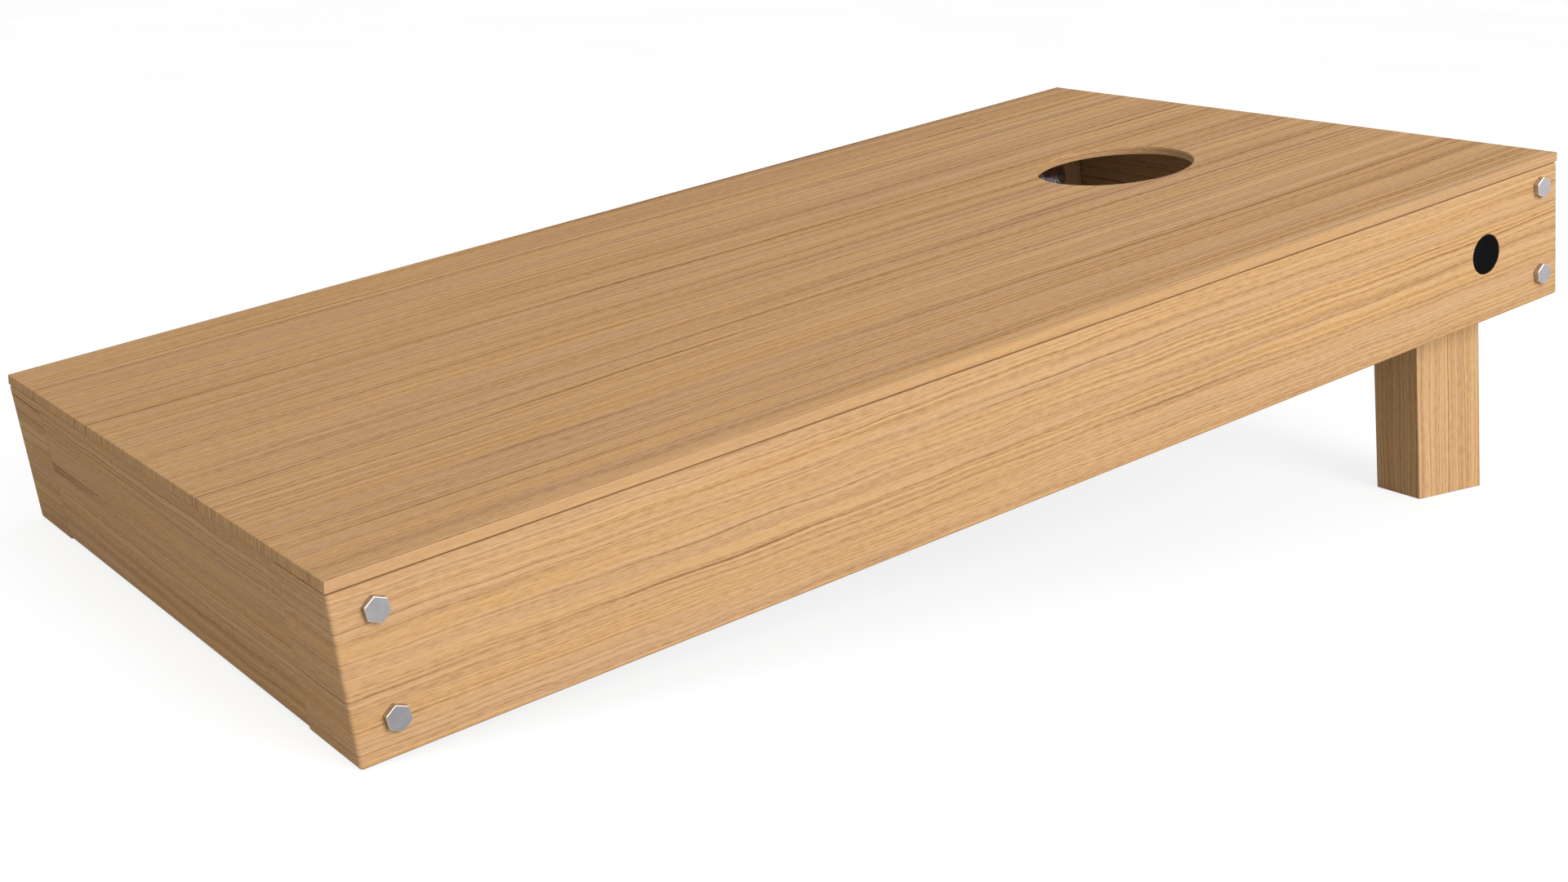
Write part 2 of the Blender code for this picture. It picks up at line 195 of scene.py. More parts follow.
def rounded(obj, radius_of, largest, segments):
    """Rounds every edge by radius_of(middle, direction), applied."""
    mesh = obj.data
    weights = mesh.attributes.new("bevel_weight_edge", "FLOAT", "EDGE")
    for edge in mesh.edges:
        a, b = (mesh.vertices[i].co for i in edge.vertices)
        weights.data[edge.index].value = radius_of((a + b) / 2, (b - a).normalized()) / largest
    mod = obj.modifiers.new("round", "BEVEL")
    mod.width = largest
    mod.segments = segments
    mod.limit_method = "WEIGHT"
    mod.harden_normals = False
    return settle(obj)


def eased_edges(obj, width, segments=3, angle=40.0):
    mod = obj.modifiers.new("eased", "BEVEL")
    mod.width = width
    mod.segments = segments
    mod.limit_method = "ANGLE"
    mod.angle_limit = math.radians(angle)
    mod.harden_normals = False
    return settle(obj)


def turned(name, profile, steps, closed=False):
    """A profile of (x, radius) pairs spun about the x axis."""
    bm = bmesh.new()
    verts = [bm.verts.new((x, 0.0, r)) for x, r in profile]
    edges = [bm.edges.new((a, b)) for a, b in zip(verts, verts[1:])]
    if closed:
        edges.append(bm.edges.new((verts[-1], verts[0])))
    bmesh.ops.spin(bm, geom=verts + edges, axis=(1, 0, 0), cent=(0, 0, 0),
                   angle=2 * math.pi, steps=steps, use_duplicate=False)
    return link(name, mesh_of(name, bm))


def prism(name, outline, x0, x1):
    """An outline of (y, z) points made solid from x0 to x1."""
    bm = bmesh.new()
    face = bm.faces.new([bm.verts.new((x0, y, z)) for y, z in outline])
    top = bmesh.ops.extrude_face_region(bm, geom=[face])
    bmesh.ops.translate(bm, vec=(x1 - x0, 0, 0),
                        verts=[v for v in top["geom"] if isinstance(v, bmesh.types.BMVert)])
    return link(name, mesh_of(name, bm))


def hexagon(across, turn):
    radius = across / 2 / math.cos(math.pi / 6)
    return [(radius * math.cos(turn + k * math.pi / 3), radius * math.sin(turn + k * math.pi / 3))
            for k in range(6)]


def combine(obj, others, operation="DIFFERENCE"):
    for i, other in enumerate(others):
        mod = obj.modifiers.new(f"b{i}", "BOOLEAN")
        mod.operation = operation
        mod.object = other
        mod.solver = "EXACT"
    settle(obj)
    drop(*others)
    return obj


def moved(obj, matrix):
    obj.data.transform(matrix)
    if matrix.determinant() < 0:
        obj.data.flip_normals()
    return obj


def finish_mesh(obj, smooth=32.0):
    mesh = obj.data
    for name in ("bevel_weight_edge",):
        if name in mesh.attributes:
            mesh.attributes.remove(mesh.attributes[name])
    mesh.shade_smooth()
    mesh.set_sharp_from_angle(angle=math.radians(smooth))
    mod = obj.modifiers.new("normals", "WEIGHTED_NORMAL")
    mod.mode = "FACE_AREA"
    mod.weight = 50
    mod.keep_sharp = True
    return obj


def attribute(mesh, name, value):
    layer = mesh.attributes.get(name) or mesh.attributes.new(name, "FLOAT", "POINT")
    layer.data.foreach_set("value", np.full(len(mesh.vertices), value, np.float32))


def mark(obj, name, chosen):
    """A per-face attribute: 1 where chosen(normal, centre) holds."""
    mesh = obj.data
    layer = mesh.attributes.new(name, "FLOAT", "FACE")
    layer.data.foreach_set("value", [1.0 if chosen(poly.normal, poly.center) else 0.0 for poly in mesh.polygons])
    return obj


# ---------------------------------------------------------------------------
# grain coordinates
# ---------------------------------------------------------------------------
def grain(obj, mapping, shift, tone):
    """mapping(point, normal) -> (u, v) in metres; shift moves the piece to its own stretch of grain."""
    mesh = obj.data
    layer = mesh.uv_layers.get("Grain") or mesh.uv_layers.new(name="Grain")
    for poly in mesh.polygons:
        for i in poly.loop_indices:
            u, v = mapping(mesh.vertices[mesh.loops[i].vertex_index].co, poly.normal, poly.center)
            layer.data[i].uv = (u + shift[0], v + shift[1])
    attribute(mesh, "tone", tone)


def dominant(n):
    a = [abs(n.x), abs(n.y), abs(n.z)]
    return a.index(max(a))


def deck_grain(p, n, c):
    """Lines run the deck's length; they turn down over its ends."""
    if math.hypot(c.x, c.y - HOLE_Y) < HOLE_R + 1.2 * MM and abs(n.z) < 0.9:
        turn = math.atan2(c.y - HOLE_Y, c.x)
        own = math.atan2(p.y - HOLE_Y, p.x)
        own += 2 * math.pi * round((turn - own) / (2 * math.pi))
        return own * HOLE_R + 3.1, p.z * 1.0 + 1.7
    k = dominant(n)
    if k == 2:
        return (p.y, p.x) if n.z > 0 else (p.y + 2.3, -p.x + 1.31)
    if k == 0:
        return p.y + 0.4, (0.9 if n.x > 0 else 1.1) - p.z
    return (p.z, p.x) if n.y < 0 else (deck_high.y - p.z, p.x)


def rail_grain(side, low, high):
    outer = high.x if side > 0 else low.x

    def mapping(p, n, c):
        depth = abs(outer - p.x)
        k = dominant(n)
        if k == 0:
            return (p.y, p.z) if n.x * side > 0 else (p.y + 0.37, -p.z + 0.61)
        if k == 1:
            return (low.y - depth, p.z) if n.y < 0 else (high.y + depth, p.z)
        return (p.y, high.z + depth) if n.z > 0 else (p.y, low.z - depth)
    return mapping


def cross_grain(low, high):
    """A timber whose grain runs along x."""
    def mapping(p, n, c):
        k = dominant(n)
        if k == 1:
            return (p.x, p.z) if n.y < 0 else (p.x + 0.77, -p.z + 0.43)
        if k == 2:
            return (p.x, high.z + p.y - low.y) if n.z > 0 else (p.x, low.z - p.y + low.y)
        return (p.y, p.z + 0.2)
    return mapping


def leg_grain(side, outer):
    def mapping(p, n, c):
        k = dominant(n)
        depth = abs(outer - p.x)
        if k == 0:
            return (p.z, p.y) if n.x * side > 0 else (p.z + 0.5, -p.y + 0.9)
        if k == 1 or n.z > 0:
            edge = PIVOT_Y - LEG_HALF_WIDTH
            if p.y < PIVOT_Y:
                return p.z, edge - depth
            return p.z, edge + 2 * LEG_HALF_WIDTH + depth
        return p.x + 0.31, p.y + 0.52
    return mapping


# ---------------------------------------------------------------------------
# node helpers
# ---------------------------------------------------------------------------
class Tree:
    def __init__(self, name):
        self.mat = bpy.data.materials.new(name)
        self.mat.use_nodes = True
        self.tree = self.mat.node_tree
        self.tree.nodes.clear()

    def node(self, kind, inputs=None, **props):
        n = self.tree.nodes.new(kind)
        for key, value in props.items():
            setattr(n, key, value)
        for key, value in (inputs or {}).items():
            socket = n.inputs[key]
            if isinstance(value, bpy.types.NodeSocket):
                self.tree.links.new(value, socket)
            elif value is not None:
                socket.default_value = value
        return n

    def math(self, op, a, b=None, c=None, clamp=False):
        n = self.node("ShaderNodeMath", operation=op, use_clamp=clamp)
        for i, value in enumerate((a, b, c)):
            if isinstance(value, bpy.types.NodeSocket):
                self.tree.links.new(value, n.inputs[i])
            elif value is not None:
                n.inputs[i].default_value = value
        return n.outputs[0]

    def remap(self, value, lo, hi, out_lo=0.0, out_hi=1.0, smooth=True):
        n = self.node("ShaderNodeMapRange", interpolation_type="SMOOTHSTEP" if smooth else "LINEAR", clamp=True)
        self.tree.links.new(value, n.inputs["Value"])
        for key, number in (("From Min", lo), ("From Max", hi), ("To Min", out_lo), ("To Max", out_hi)):
            n.inputs[key].default_value = number
        return n.outputs["Result"]

    def vector(self, x, y, z=0.0):
        n = self.node("ShaderNodeCombineXYZ")
        for i, value in enumerate((x, y, z)):
            if isinstance(value, bpy.types.NodeSocket):
                self.tree.links.new(value, n.inputs[i])
            else:
                n.inputs[i].default_value = value
        return n.outputs[0]

    def noise(self, vector, scale=1.0, detail=2.0, roughness=0.5, distortion=0.0):
        n = self.node("ShaderNodeTexNoise", {"Vector": vector, "Scale": scale, "Detail": detail,
                                            "Roughness": roughness, "Distortion": distortion},
                      noise_dimensions="3D")
        return n.outputs["Fac"]

    def mix(self, factor, a, b, blend="MIX"):
        n = self.node("ShaderNodeMix", data_type="RGBA", blend_type=blend, clamp_factor=True)
        for index, value in ((0, factor), (6, a), (7, b)):
            socket = n.inputs[index]
            if isinstance(value, bpy.types.NodeSocket):
                self.tree.links.new(value, socket)
            elif index == 0:
                socket.default_value = value
            else:
                socket.default_value = (*value, 1.0) if len(value) == 3 else value
        return n.outputs[2]

    def edge(self, radius, samples=4):
        """0 on flats, towards 1 on outer edges and rims, by comparing rounded and plain normals."""
        bevel = self.node("ShaderNodeBevel", {"Radius": radius}, samples=samples)
        geometry = self.node("ShaderNodeNewGeometry")
        dot = self.node("ShaderNodeVectorMath", operation="DOT_PRODUCT")
        self.tree.links.new(bevel.outputs[0], dot.inputs[0])
        self.tree.links.new(geometry.outputs["Normal"], dot.inputs[1])
        return self.remap(dot.outputs["Value"], 0.985, 0.72, 0.0, 1.0)

    def finish(self, colour, roughness, metallic=0.0, specular=0.5, height=None, strength=0.2,
               distance=0.0004, extra=None):
        inputs = {"Base Color": colour, "Roughness": roughness, "Metallic": metallic,
                  "Specular IOR Level": specular}
        inputs.update(extra or {})
        bsdf = self.node("ShaderNodeBsdfPrincipled", inputs)
        if height is not None:
            bump = self.node("ShaderNodeBump", {"Strength": strength, "Distance": distance, "Height": height})
            self.tree.links.new(bump.outputs[0], bsdf.inputs["Normal"])
        out = self.node("ShaderNodeOutputMaterial")
        self.tree.links.new(bsdf.outputs[0], out.inputs[0])
        return self.mat


# ---------------------------------------------------------------------------
# materials
# ---------------------------------------------------------------------------
def srgb(*rgb):
    """Linear values of 8-bit display colours."""
    out = []
    for c in rgb:
        c /= 255.0
        out.append(c / 12.92 if c <= 0.04045 else ((c + 0.055) / 1.055) ** 2.4)
    return tuple(out)


# The wood's colours as they show on a face in full key light, darkest line to
# palest fibre, against the strength of the grain; WOOD_LIGHT is that light.
WOOD_LIGHT = 1.60
WOOD_STOPS = ((-5.5, (143, 103, 66)), (-3.2, (179, 135, 92)), (-1.6, (201, 156, 110)), (0.0, (216, 171, 122)),
              (1.2, (223.5, 178.3, 128)), (2.6, (231.5, 186, 134)))


def wood(name, seed, cast=(1.0, 1.0, 1.0), broad=1.0, dark=2.6, fine=1.0, specular=0.005):
    """Pale straight-grained hardwood.  Stripes of several widths run nearly the
    whole length; shorter streaks, thin dark growth lines and pores break them."""
    t = Tree(name)
    uv = t.node("ShaderNodeUVMap", uv_map="Grain")
    split = t.node("ShaderNodeSeparateXYZ", {0: uv.outputs[0]})
    u, v = split.outputs[0], split.outputs[1]

    def noise(su, sv, z, detail=0.0, rough=0.5, across=None):
        x = t.math("MULTIPLY_ADD", u, su, seed + z)
        y = t.math("MULTIPLY_ADD", across if across is not None else v1, sv, seed + 1.7 * z)
        n = t.node("ShaderNodeTexNoise", {"Vector": t.vector(x, y), "Scale": 1.0, "Detail": detail,
                                          "Roughness": rough}, noise_dimensions="2D")
        return n.outputs["Fac"]

    # slow wander of the lines, then a short ripple
    sway = noise(1.9, 5.0, 1.3, across=v)
    ripple = noise(15.0, 34.0, 5.1, across=v)
    v1 = t.math("MULTIPLY_ADD", t.math("SUBTRACT", sway, 0.5), 0.010, v)
    v1 = t.math("MULTIPLY_ADD", t.math("SUBTRACT", ripple, 0.5), 0.0030, v1)

    def add(total, value, spread, weight):
        """total + weight * value, value measured in its own standard deviations."""
        centred = t.math("MULTIPLY", t.math("SUBTRACT", value, 0.5), weight / spread)
        return centred if total is None else t.math("ADD", total, centred)

    wide = noise(0.35, 50.0, 11.0)
    tree = add(None, wide, 0.16, 0.04 * broad)
    tree = add(tree, noise(0.45, 118.0, 13.0), 0.16, 0.09 * broad)
    tree = add(tree, noise(0.35, 290.0, 17.0), 0.16, 0.34)
    tree = add(tree, noise(0.4, 590.0, 19.0), 0.16, 0.84 * fine)
    medium = noise(6.0, 240.0, 23.0, 1.0, 0.7)
    tree = add(tree, medium, 0.115, 0.24 * fine)
    pores = noise(100.0, 560.0, 29.0, 1.0, 0.75)
    tree = add(tree, pores, 0.115, 0.46 * fine)

    def rings(pitch, drift, bend, width, gate, lo, hi):
        """Thin dark growth lines, unevenly spaced; a second noise lets stretches of them through."""
        x = t.math("MULTIPLY_ADD", noise(*bend), drift, t.math("MULTIPLY", v1, pitch))
        level = t.math("ABSOLUTE", t.math("SUBTRACT", t.math("FRACT", x), 0.5))
        return t.math("MULTIPLY", t.remap(level, width, 0.15 * width), t.remap(noise(*gate), lo, hi))

    long_lines = rings(76.0, 5.0, (0.2, 17.0, 37.0), 0.066, (1.0, 95.0, 31.0), 0.40, 0.60)
    short_lines = rings(225.0, 5.0, (0.7, 52.0, 43.0), 0.16, (3.0, 210.0, 47.0), 0.44, 0.64)
    line = t.math("MULTIPLY_ADD", short_lines, 0.46, long_lines)
    # the sheet's sawn long edges are plainer and a touch paler
    calm = t.node("ShaderNodeAttribute", attribute_name="calm", attribute_type="GEOMETRY").outputs["Fac"]
    line = t.math("MULTIPLY", line, t.math("MULTIPLY_ADD", calm, -0.75, 1.0))
    tree = t.math("MULTIPLY_ADD", calm, 0.85, t.math("MULTIPLY", tree, t.math("MULTIPLY_ADD", calm, -0.45, 1.0)))
    tree = t.math("MULTIPLY_ADD", line, -dark, tree)

    low, high = WOOD_STOPS[0][0], WOOD_STOPS[-1][0]
    ramp = t.node("ShaderNodeValToRGB", {0: t.remap(tree, low, high, 0.0, 1.0, smooth=False)})
    ramp.color_ramp.interpolation = "LINEAR"
    while len(ramp.color_ramp.elements) < len(WOOD_STOPS):
        ramp.color_ramp.elements.new(0.5)
    for element, (at, rgb) in zip(ramp.color_ramp.elements, WOOD_STOPS):
        element.position = (at - low) / (high - low)
        element.color = (*[c * k / WOOD_LIGHT for c, k in zip(srgb(*rgb), cast)], 1.0)
    # yellower and pinker stretches
    hue = noise(1.6, 60.0, 41.0, 1.0, 0.6)
    tint = t.mix(t.remap(hue, 0.27, 0.73, smooth=False), (1.030, 1.012, 0.925), (0.972, 0.990, 1.080))
    colour = t.mix(1.0, ramp.outputs[0], tint, "MULTIPLY")
    tone = t.node("ShaderNodeAttribute", attribute_name="tone", attribute_type="GEOMETRY").outputs["Fac"]
    hsv = t.node("ShaderNodeHueSaturation", {"Hue": 0.5, "Saturation": 1.0, "Value": t.math("ADD", 1.0, tone),
                                            "Fac": 1.0, "Color": colour})
    # handled arrises: the finish is thinner there, and the wood is painted a little paler, partly as a painted
    # highlight on the rounding
    edge = t.edge(0.0026, 2)
    rub_and_sheen = t.math("MULTIPLY", edge, t.remap(medium, 0.40, 0.58, 0.35, 1.0))
    colour = t.mix(t.math("MULTIPLY", rub_and_sheen, 0.22), hsv.outputs[0], tuple(c * k for c, k in zip((0.500, 0.322, 0.170), cast)))
    # painted shade: the joint under the deck is darkened to a near-black line, where shadow would fall, and reads as
    # a dark line
    seam_shade = t.node("ShaderNodeAttribute", attribute_name="seam_shade", attribute_type="GEOMETRY").outputs["Fac"]
    colour = t.mix(t.math("MULTIPLY", seam_shade, t.remap(medium, 0.35, 0.65, 0.46, 0.62)), colour, (0.085, 0.043, 0.018))

    roughness = t.math("MULTIPLY_ADD", pores, 0.22, 0.42)
    roughness = t.math("MULTIPLY_ADD", line, 0.10, roughness)
    roughness = t.math("MULTIPLY_ADD", rub_and_sheen, 0.08, roughness, clamp=True)
    height = t.math("MULTIPLY_ADD", line, -0.30, pores)
    return t.finish(colour, roughness, specular=specular, height=height, strength=0.30, distance=0.00030)


def metal(name, dull, bright, rough, seed=0.0):
    """Zinc plate: a faint clouding, fine rolled scratches, and edges painted brighter as a highlight."""
    t = Tree(name)
    at = t.node("ShaderNodeTexCoord").outputs["Object"]
    split = t.node("ShaderNodeSeparateXYZ", {0: at})
    x, y, z = split.outputs
    cloud = t.noise(at, scale=90.0, detail=4.0, roughness=0.6)
    speck = t.noise(at, scale=1400.0, detail=2.0, roughness=0.6)
    brush = t.noise(t.vector(t.math("MULTIPLY", x, 900.0), t.math("MULTIPLY", y, 260.0),
                             t.math("MULTIPLY", z, 3600.0)), detail=2.0)
    colour = t.mix(t.remap(cloud, 0.34, 0.66), dull, tuple(0.92 * a + 0.08 * b for a, b in zip(dull, bright)))
    warm = t.noise(at, scale=34.0, detail=2.0)
    colour = t.mix(t.remap(warm, 0.45, 0.62, 0.0, 0.5), colour, (dull[0] * 1.08, dull[1] * 0.98, dull[2] * 1.02))
    colour = t.mix(t.remap(speck, 0.6, 0.78, 0.0, 0.22), colour, tuple(c * 0.55 for c in dull))
    painted_glint = t.node("ShaderNodeAttribute", attribute_name="painted_glint", attribute_type="GEOMETRY").outputs["Fac"]
    # painted highlight: edges and the marked bevels are mixed towards the bright colour
    edge = t.math("MAXIMUM", t.edge(0.0007), t.math("MULTIPLY", painted_glint, t.remap(brush, 0.30, 0.55, 0.80, 1.0)))
    colour = t.mix(t.math("MULTIPLY", edge, 0.60), colour, bright)
    roughness = t.math("ADD", rough, t.math("MULTIPLY", t.math("SUBTRACT", cloud, 0.5), 0.12))
    roughness = t.math("ADD", roughness, t.math("MULTIPLY", t.math("SUBTRACT", brush, 0.5), 0.08))
    roughness = t.math("SUBTRACT", roughness, t.math("MULTIPLY", edge, 0.10), clamp=True)
    height = t.math("ADD", t.math("MULTIPLY", brush, 0.5), t.math("MULTIPLY", speck, 0.5))
    return t.finish(colour, roughness, metallic=1.0, height=height, strength=0.06, distance=0.0001)


def plastic(name, base, pale, rough, specular, grain_scale=1600.0):
    """Moulded plastic: fine spark-eroded grain; the rims a little paler in colour and less rough."""
    t = Tree(name)
    at = t.node("ShaderNodeTexCoord").outputs["Object"]
    cells = t.node("ShaderNodeTexVoronoi", {"Vector": at, "Scale": grain_scale}, feature="F1")
    cloud = t.noise(at, scale=120.0, detail=3.0)
    colour = t.mix(t.remap(cloud, 0.35, 0.68), base, tuple(0.75 * a + 0.25 * b for a, b in zip(base, pale)))
    edge = t.edge(0.0009)
    colour = t.mix(t.math("MULTIPLY", edge, 0.55), colour, pale)
    roughness = t.math("ADD", rough, t.math("MULTIPLY", t.math("SUBTRACT", cloud, 0.5), 0.2))
    roughness = t.math("SUBTRACT", roughness, t.math("MULTIPLY", edge, 0.15), clamp=True)
    return t.finish(colour, roughness, specular=specular, height=cells.outputs["Distance"],
                    strength=0.25, distance=0.00012)


deck_wood = wood("deck_wood", 4.0, (0.937, 0.940, 0.940), 4.4, 3.7, 1.25)
frame_wood = wood("frame_wood", 9.0, (0.994, 1.014, 1.030))
leg_wood = wood("leg_wood", 15.0, (1.07, 1.11, 1.14))
zinc = metal("zinc_steel", (0.465, 0.455, 0.465), (1.0, 1.0, 1.0), 0.30)
dark_zinc = metal("zinc_steel_inner", (0.42, 0.42, 0.43), (0.80, 0.80, 0.80), 0.40)
black_plastic = plastic("cap_plastic", (0.0022, 0.0022, 0.0023), (0.0060, 0.0060, 0.0065), 0.60, 0.025)
nylon = plastic("nylon", (0.62, 0.60, 0.54), (0.76, 0.75, 0.70), 0.42, 0.45, 900.0)
nylon_blue = plastic("nylon_insert", (0.04, 0.10, 0.26), (0.09, 0.18, 0.38), 0.40, 0.45, 900.0)


# ---------------------------------------------------------------------------
# placing pieces
# ---------------------------------------------------------------------------
def install(obj, node, body, materials):
    moved(obj, BOARD)
    obj.data.materials.clear()
    for mat in materials:
        obj.data.materials.append(mat)
    finish_mesh(obj)
    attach(obj, body)
    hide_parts(node)
    return obj


def wooden(obj, node, body, mat, mapping, shift, tone=0.0):
    grain(obj, mapping, shift, tone)
    return install(obj, node, body, [mat])


SIDES = (("right", 1.0), ("left", -1.0))


def spin_cut(name, profile, at, axis, steps=64):
    """A turned cutter whose x axis is laid along axis, at a point."""
    cutter = turned(name, profile, steps)
    turn = Vector((1, 0, 0)).rotation_difference(Vector(axis)).to_matrix().to_4x4()
    return moved(cutter, Matrix.Translation(at) @ turn)


# --- deck: crisp sanded edges, the front one plumb; the hole's rims just broken ----
thick = deck_high.z - deck_low.z
deck = prism("deck_panel_fine", [(deck_high.y, 0.0), (0.0, 0.0), (deck_low.y, deck_low.z), (deck_high.y, deck_low.z)],
             deck_low.x, deck_high.x)
rounded(deck, lambda m, d: 0.7 * MM, 0.7 * MM, 3)
RIM = 1.0 * MM
profile = [(0.01, 0.0), (0.01, HOLE_R + 1.4 * RIM)]
profile += [(-RIM * (1 - math.cos(a)), HOLE_R + RIM * (1 - math.sin(a))) for a in
            [math.radians(k * 15) for k in range(0, 7)]]
profile += [(-thick + RIM * (1 - math.cos(a)), HOLE_R + RIM * (1 - math.sin(a))) for a in
            [math.radians(k * 15) for k in range(6, -1, -1)]]
profile += [(-thick - 0.01, HOLE_R + 1.4 * RIM), (-thick - 0.01, 0.0)]
combine(deck, [spin_cut("cut_hole", profile, (0.0, HOLE_Y, deck_high.z), (0, 0, 1), 160)])
mark(deck, "calm", lambda n, c: abs(n.x) > 0.5 and abs(c.x) > HALF - 2 * MM)
wooden(deck, "deck_panel", "frame", deck_wood, deck_grain, (0.0, 0.0))

# --- bolts' rows -----------------------------------------------------------------
rows = []
for which in ("front", "back"):
    for level in ("upper", "lower"):
        low, high = board_box(f"corner_bolt_{which}_{level}_right")
        nut_low, nut_high = board_box(f"barrel_nut_{which}_{level}_right")
        rows.append((which, level, (low.y + high.y) / 2, (low.z + high.z) / 2,
                     high.x, low.x, (nut_low.x + nut_high.x) / 2, (nut_low.y + nut_high.y) / 2))

# --- side rails --------------------------------------------------------------------
for side, s in SIDES:
    low, high = board_box(f"side_rail_{side}")
    outer, inner = (high.x, low.x) if s > 0 else (low.x, high.x)

    def rail_radius(m, d, inner=inner, low=low):
        return EASED if abs(m.x - inner) < MM and m.z > low.z + MM else ARRIS

    rail = box(f"side_rail_{side}_fine", low, high)
    rounded(rail, rail_radius, ARRIS, 6)
    cutters = []

    def span(a, b, s=s, outer=outer):
        return sorted((outer - s * a, outer - s * b))

    x0, x1 = span(POCKET_CHEEK, 0.12)
    cutters.append(box("cut_pocket", (x0, POCKET_FRONT, low.z - 0.02), (x1, POCKET_BACK, POCKET_TOP)))
    x0, x1 = span(abs(outer - inner) - HOUSING, 0.12)
    cutters.append(box("cut_housing", (x0, brace_low.y - GAP, brace_low.z - GAP), (x1, brace_high.y + GAP, 0.02)))
    C = 0.5 * MM
    cutters.append(spin_cut("cut_pivot", [
        (0.01, 0.0), (0.01, CAP_RECESS_R + 2 * C), (0.0, CAP_RECESS_R + C), (-0.15 * C, CAP_RECESS_R + 0.45 * C),
        (-0.45 * C, CAP_RECESS_R + 0.15 * C), (-C, CAP_RECESS_R),
        (-CAP_RECESS_DEPTH, CAP_RECESS_R), (-CAP_RECESS_DEPTH, 6.3 * MM), (-0.06, 6.3 * MM), (-0.06, 0.0)],
        (outer, PIVOT_Y, PIVOT_Z), (s, 0, 0), 96))
    for which, level, y, z, *_ in rows:
        cutters.append(spin_cut("cut_bolt", [(0.02, 0.0), (0.02, 5.3 * MM), (-0.13, 5.3 * MM), (-0.13, 0.0)],
                                (outer, y, z), (s, 0, 0), 32))
    combine(rail, cutters)
    # the faces along the rail's top arris, under the deck, take the joint's painted shade
    mark(rail, "seam_shade", lambda n, c, top=high.z: n.z > 0.70 and c.z > top - 1.0 * MM)
    wooden(rail, f"side_rail_{side}", "frame", frame_wood, rail_grain(s, low, high),
           (5.0, 2.0) if s > 0 else (9.3, 4.1), 0.0 if s > 0 else -0.02)

# --- end boards ---------------------------------------------------------------------
for which, (low, high) in (("front", (front_low, front_high)), ("back", (back_low, back_high))):
    board = box(f"end_board_{which}_fine", low, high)

    def end_radius(m, d, high=high):
        return EASED if abs(m.x) > high.x - MM or m.z > high.z - MM else ARRIS

    rounded(board, end_radius, ARRIS, 6)
    inner_face = high.y if which == "front" else low.y
    inward = 1.0 if which == "front" else -1.0
    cutters = []
    for row, level, y, z, head_x, tip_x, nut_x, nut_y in rows:
        if row != which:
            continue
        for s in (1.0, -1.0):
            cutters.append(spin_cut("cut_bolt", [(0.02, 0.0), (0.02, 5.3 * MM), (-0.124, 5.3 * MM), (-0.124, 0.0)],
                                    (s * HALF, y, z), (s, 0, 0), 32))
            reach = abs(inner_face - y)
            R, C = 7.0 * MM + GAP, 0.6 * MM
            cutters.append(spin_cut("cut_nut", [
                (-11.0 * MM - GAP, 0.0), (-11.0 * MM - GAP, R), (reach - C, R), (reach + C, R + 2 * C),
                (reach + 0.01, R + 2 * C), (reach + 0.01, 0.0)], (s * nut_x, y, z), (0, inward, 0), 48))
    combine(board, cutters)
    wooden(board, f"end_board_{which}", "frame", frame_wood, cross_grain(low, high),
           (13.0, 6.0) if which == "front" else (17.5, 8.0), 0.0)

# --- centre brace -----------------------------------------------------------------------
brace = box("centre_brace_fine", brace_low, brace_high)
rounded(brace, lambda m, d: 1.2 * MM, 1.2 * MM, 4)
wooden(brace, "centre_brace", "frame", frame_wood, cross_grain(brace_low, brace_high), (23.0, 11.0), -0.03)

# --- legs ------------------------------------------------------------------------------------
pivot_world = BOARD @ Vector((0.0, PIVOT_Y, PIVOT_Z))
for side, s in SIDES:
    low, high = board_box(f"leg_{side}")
    r = LEG_HALF_WIDTH
    top = [(PIVOT_Y + r * math.cos(k * math.pi / 60), PIVOT_Z + r * math.sin(k * math.pi / 60)) for k in range(61)]
    foot = []
    for dy in (-r, r):
        dz = -(pivot_world.z + dy * math.sin(TILT)) / math.cos(TILT)
        foot.append((PIVOT_Y + dy, PIVOT_Z + dz))
    leg = prism(f"leg_{side}_fine", top + foot, low.x, high.x)
    eased_edges(leg, 0.9 * MM, 4)
    C = 0.5 * MM
    w = high.x - low.x
    bore = spin_cut("cut_bore", [
        (0.01, 0.0), (0.01, 6.08 * MM + 2 * C), (C * 0, 6.08 * MM + C), (-C, 6.08 * MM), (-w + C, 6.08 * MM),
        (-w, 6.08 * MM + C), (-w - 0.01, 6.08 * MM + 2 * C), (-w - 0.01, 0.0)], (high.x, PIVOT_Y, PIVOT_Z), (1, 0, 0), 64)
    combine(leg, [bore])
    wooden(leg, f"leg_{side}", f"leg_{side}", leg_wood,
           leg_grain(s, high.x if s > 0 else low.x), (2.0, 3.0) if s > 0 else (6.0, 7.0), 0.0)


# ---------------------------------------------------------------------------
# hardware
# ---------------------------------------------------------------------------
def thread(x_start, x_end, radius, pitch):
    """Profile of thread rings from x_start down to x_end, crests at radius."""
    points, x = [], x_start
    while x - pitch > x_end:
        points += [(x, radius - 0.61 * pitch), (x - 0.44 * pitch, radius), (x - 0.56 * pitch, radius)]
        x -= pitch
    return points, x


def hex_bolt(name, radius, length, across, height, turn, pitch, threaded, ease, steps=48):
    """Underside of the head at x = 0, head towards +x, shank towards -x."""
    head = prism(name, hexagon(across, turn), 0.0, height)
    eased_edges(head, ease, 3, 30)
    start = -length + threaded
    rings, x = thread(start, -length + 1.2 * MM, radius, pitch)
    shank = turned(name + "_shank", [(height * 0.5, 0.0), (height * 0.5, radius), (start + 0.6 * pitch, radius)]
                   + rings + [(x, radius - 0.61 * pitch), (-length + 0.7 * MM, radius - 0.75 * MM),
                              (-length, radius - 1.3 * MM), (-length, 0.0)], steps)
    return mark_glint_bevels(combine(head, [shank], "UNION"))


def mark_glint_bevels(obj):
    """Marks the bevels round a head's face, which get a painted highlight."""
    return mark(obj, "painted_glint", lambda n, c: c.x > 0.2 * MM and 0.12 < abs(n.x) < 0.97)


